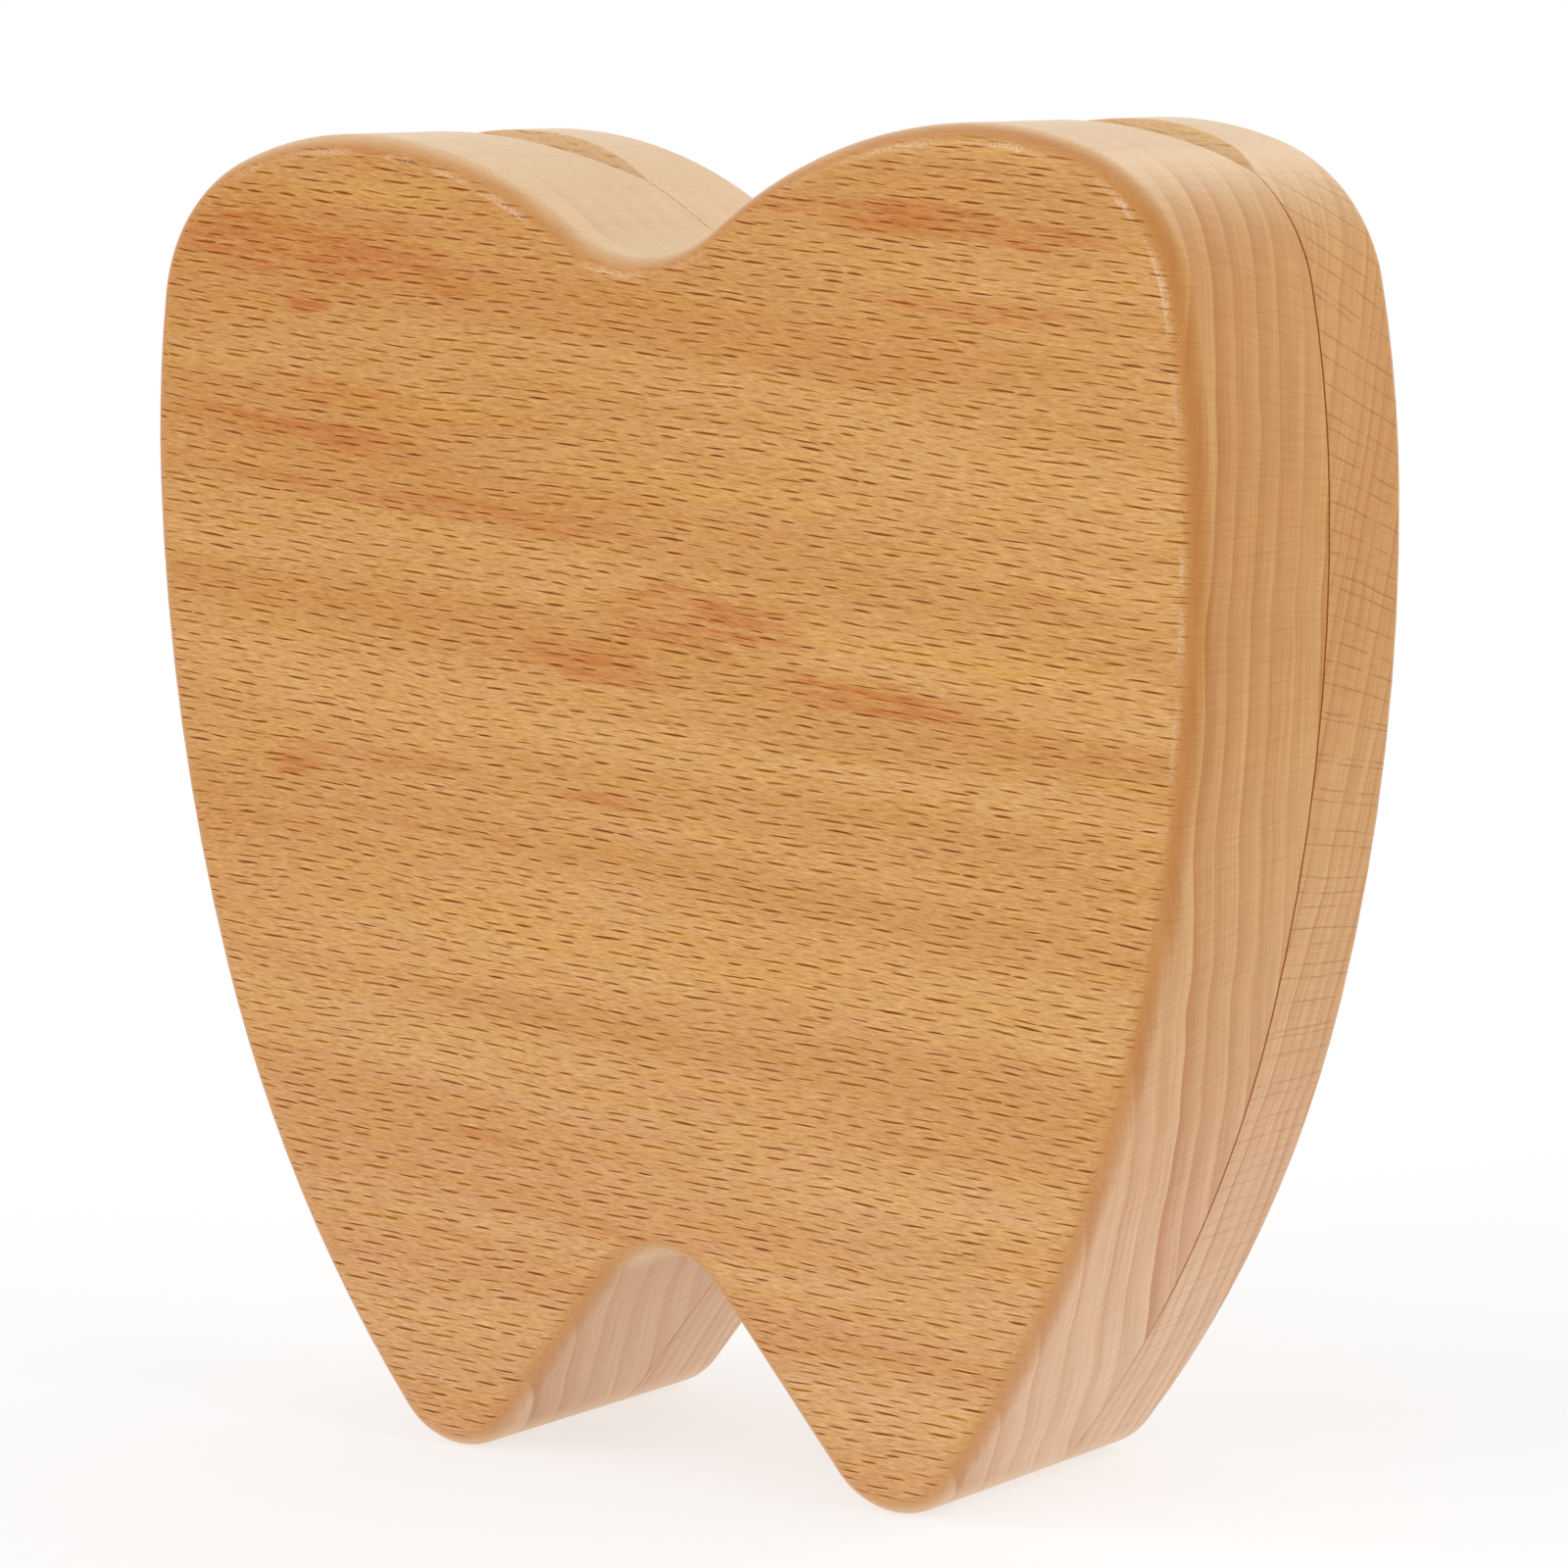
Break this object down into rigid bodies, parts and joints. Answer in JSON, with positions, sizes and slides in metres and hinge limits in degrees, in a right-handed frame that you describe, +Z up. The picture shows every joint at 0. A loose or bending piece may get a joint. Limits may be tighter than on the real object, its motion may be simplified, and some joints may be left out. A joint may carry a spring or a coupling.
{
  "type": "baby tooth box",
  "caption": "Tooth-shaped beech keepsake box with a hinged lid, drilled tooth sockets, a corked glass vial and tweezers.",
  "frame": {"origin": "centre of the bounding box at the level of the root tips, on which the box stands", "axes": "+Z up towards the crown, +X to the right seen from the body's plain face, +Y from the body to the lid"},
  "size_m": [0.106, 0.0306, 0.11],
  "materials": {
    "beech": "satin",
    "brass": "satin",
    "hinge_pin": "satin",
    "magnet": "bright",
    "vial_glass": "clear",
    "cork": "matt",
    "white_plastic": "satin"
  },
  "bodies": {
    "box_body": {"body_half": "beech", "hinge_fork_left": "brass", "hinge_fork_right": "brass", "hinge_pin_left": "hinge_pin", "hinge_pin_right": "hinge_pin", "body_magnet_left": "magnet", "body_magnet_right": "magnet", "glass_vial": "vial_glass", "tweezers_head": "white_plastic"},
    "lid": {"lid_half": "beech", "hinge_tongue_left": "brass", "hinge_tongue_right": "brass", "lid_magnet_left": "magnet", "lid_magnet_right": "magnet"},
    "stopper": {"cork": "cork"},
    "upper_arm": {"tweezers_upper_arm": "white_plastic"},
    "lower_arm": {"tweezers_lower_arm": "white_plastic"}
  },
  "joints": [
    {"name": "lid_hinge", "type": "hinge", "parent": "box_body", "child": "lid", "pos_m": [0, 0.00352, 0.1055], "axis": [1, 0, 0], "range_deg": [0, 90]},
    {"name": "cork_pull", "type": "slide", "parent": "box_body", "child": "stopper", "axis": [1, 0, 0], "range_m": [0, 0.007]},
    {"name": "upper_arm_flex", "type": "hinge", "parent": "box_body", "child": "upper_arm", "pos_m": [-0.0217, 0.00162, 0.05789], "axis": [0, 1, 0], "range_deg": [0, 5], "stiffness_Nm_per_rad": 0.3},
    {"name": "lower_arm_flex", "type": "hinge", "parent": "box_body", "child": "lower_arm", "pos_m": [-0.0217, 0.00162, 0.05121], "axis": [0, -1, 0], "range_deg": [0, 5], "stiffness_Nm_per_rad": 0.3}
  ],
  "couplings": [
    {"joint": "lower_arm_flex", "follows": "upper_arm_flex", "ratio": 1}
  ]
}
